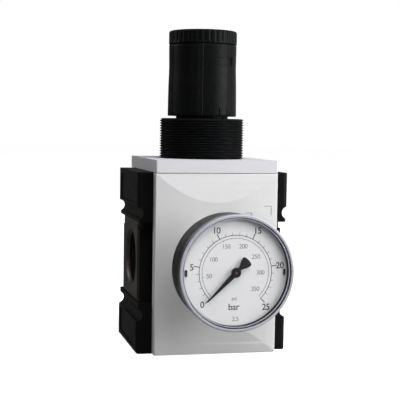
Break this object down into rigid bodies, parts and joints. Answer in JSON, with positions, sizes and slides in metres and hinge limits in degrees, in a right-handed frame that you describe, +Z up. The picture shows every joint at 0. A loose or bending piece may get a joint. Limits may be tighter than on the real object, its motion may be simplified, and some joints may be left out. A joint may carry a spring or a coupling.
{
  "type": "air pressure regulator",
  "caption": "Modular compressed-air pressure regulator with threaded ports, push-lock knob on a panel sleeve and a dial gauge on its front.",
  "frame": {"origin": "on the spindle's axis, at the bottom face of the body", "axes": "+Z up along the spindle, +X from the inlet port to the outlet port, -Y towards the pressure gauge"},
  "size_m": [0.0882, 0.1314, 0.1853],
  "materials": {
    "body_black": "die casting with a satin black coat",
    "port_metal": "machined, dull",
    "cover_grey": "fine satin texture",
    "cap_grey": "satin",
    "knob_black": "fine satin texture",
    "case_black": "moulded, slightly glossy",
    "clear_plastic": "clear moulded plastic",
    "dial_white": "matt white with printed scales",
    "pointer_black": "matt",
    "brass": "turned",
    "steel": "zinc plated",
    "spring_steel": "drawn wire",
    "aluminium": "turned",
    "rubber": "matt"
  },
  "bodies": {
    "housing": {"body": "body_black", "inlet_insert": "port_metal", "outlet_insert": "port_metal", "front_cover": "cover_grey", "rear_cover": "cover_grey", "top_cap": "cap_grey", "bonnet": "body_black", "bonnet_screws": "steel", "spindle_guide": "body_black", "seat_insert": "brass", "bottom_plug": "body_black", "bottom_plug_oring": "rubber", "stem_seal": "rubber", "rear_port_plug": "body_black", "rear_plug_seal": "rubber", "gauge_adapter": "brass", "gauge_seal": "rubber", "gauge_socket": "brass", "gauge_case": "case_black", "gauge_window": "clear_plastic", "window_gasket": "rubber", "gauge_dial": "dial_white", "dial_clips": "case_black", "bourdon_tube": "brass", "movement_plates": "brass", "movement_pillars": "brass", "diaphragm": "rubber", "valve_spring": "spring_steel"},
    "spindle": {"spindle": "steel", "thrust_washer": "brass", "retaining_ring": "spring_steel"},
    "knob": {"knob_hub": "knob_black", "knob_shell": "knob_black", "knob_cap": "knob_black"},
    "spring_plate": {"spring_plate": "steel"},
    "diaphragm_plates": {"upper_plate": "aluminium", "lower_plate": "aluminium", "relief_bush": "brass", "main_spring": "spring_steel"},
    "valve": {"valve_stem": "brass", "valve_seal": "rubber"},
    "pointer": {"pointer_pinion": "brass", "pointer": "pointer_black", "pointer_pin": "brass"},
    "sector": {"sector_gear": "brass"},
    "link": {"tube_link": "brass"}
  },
  "joints": [
    {"name": "spindle_turn", "type": "hinge", "parent": "housing", "child": "spindle", "pos_m": [0, 0, 0.128], "axis": [0, 0, 1], "range_deg": [-1800, 0]},
    {"name": "knob_lift", "type": "slide", "parent": "spindle", "child": "knob", "axis": [0, 0, 1], "range_m": [0, 0.003]},
    {"name": "spring_plate_travel", "type": "slide", "parent": "housing", "child": "spring_plate", "axis": [0, 0, 1], "range_m": [-0.0075, 0], "deforming": ["main_spring"]},
    {"name": "valve_travel", "type": "slide", "parent": "housing", "child": "valve", "axis": [0, 0, 1], "range_m": [-0.002, 0], "stiffness_N_per_m": 2000, "springref_m": 0.004, "deforming": ["valve_spring"]},
    {"name": "diaphragm_travel", "type": "slide", "parent": "housing", "child": "diaphragm_plates", "axis": [0, 0, 1], "range_m": [-0.002, 0], "deforming": ["diaphragm"]},
    {"name": "pointer_turn", "type": "hinge", "parent": "housing", "child": "pointer", "pos_m": [0, -0.0832, 0.0527], "axis": [0, 1, 0], "range_deg": [0, 270], "stiffness_Nm_per_rad": 0.0001, "springref_deg": -17.19},
    {"name": "sector_swing", "type": "hinge", "parent": "housing", "child": "sector", "pos_m": [0, -0.0732, 0.038], "axis": [0, 1, 0], "range_deg": [-45, 0]},
    {"name": "link_swing", "type": "hinge", "parent": "sector", "child": "link", "pos_m": [0, -0.0732, 0.0334], "axis": [0, 1, 0], "range_deg": [0, 45]}
  ],
  "couplings": [
    {"joint": "spring_plate_travel", "follows": "spindle_turn", "m_per_rad": 0.0002387},
    {"joint": "diaphragm_travel", "follows": "valve_travel", "ratio": 1},
    {"joint": "sector_swing", "follows": "pointer_turn", "ratio": -0.16666},
    {"joint": "link_swing", "follows": "pointer_turn", "ratio": 0.16666}
  ]
}
